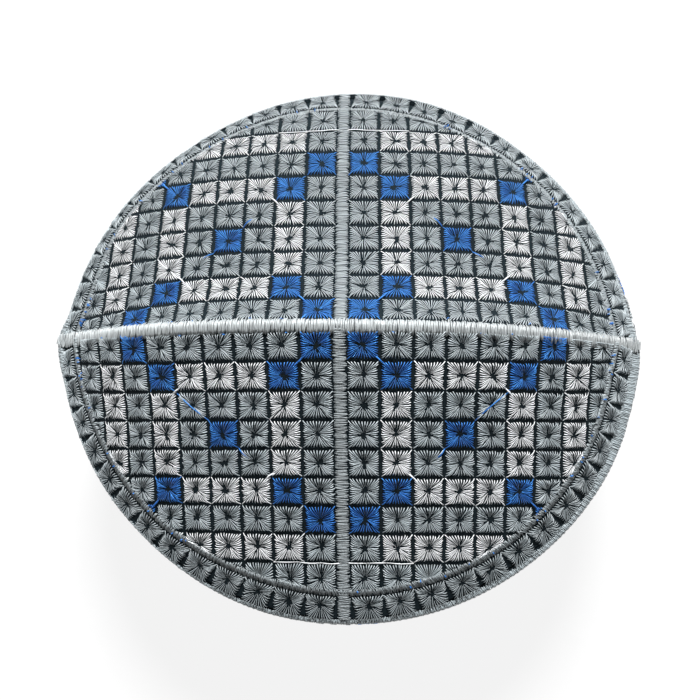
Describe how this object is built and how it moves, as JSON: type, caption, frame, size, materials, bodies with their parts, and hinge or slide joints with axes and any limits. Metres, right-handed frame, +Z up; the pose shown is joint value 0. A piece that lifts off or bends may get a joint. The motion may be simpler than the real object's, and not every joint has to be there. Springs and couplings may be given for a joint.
{
  "type": "kufi",
  "caption": "Round stiff embroidered cap with a ridged two-panel crown and an upright side band, open below for the head.",
  "frame": {"origin": "centre of the hem's flat lower face, on the surface that the cap stands on", "axes": "+X along the ridge seam, -Y towards the front crown panel, +Z up through the crown"},
  "size_m": [0.1932, 0.18, 0.0843],
  "materials": {
    "embroidered_cloth": "charcoal ground cloth under raised satin stitches in grey, white and blue thread with a silky sheen",
    "seam_thread": "light grey overcast stitches laid close together, with a soft sheen",
    "hem_binding": "charcoal cloth edge with light grey overcast stitches"
  },
  "bodies": {
    "root": {"crown_panel_back": "embroidered_cloth", "crown_panel_front": "embroidered_cloth", "ridge_seam": "seam_thread", "rim_seam": "seam_thread", "side_band": "embroidered_cloth", "hem_edge": "hem_binding"}
  },
  "joints": []
}
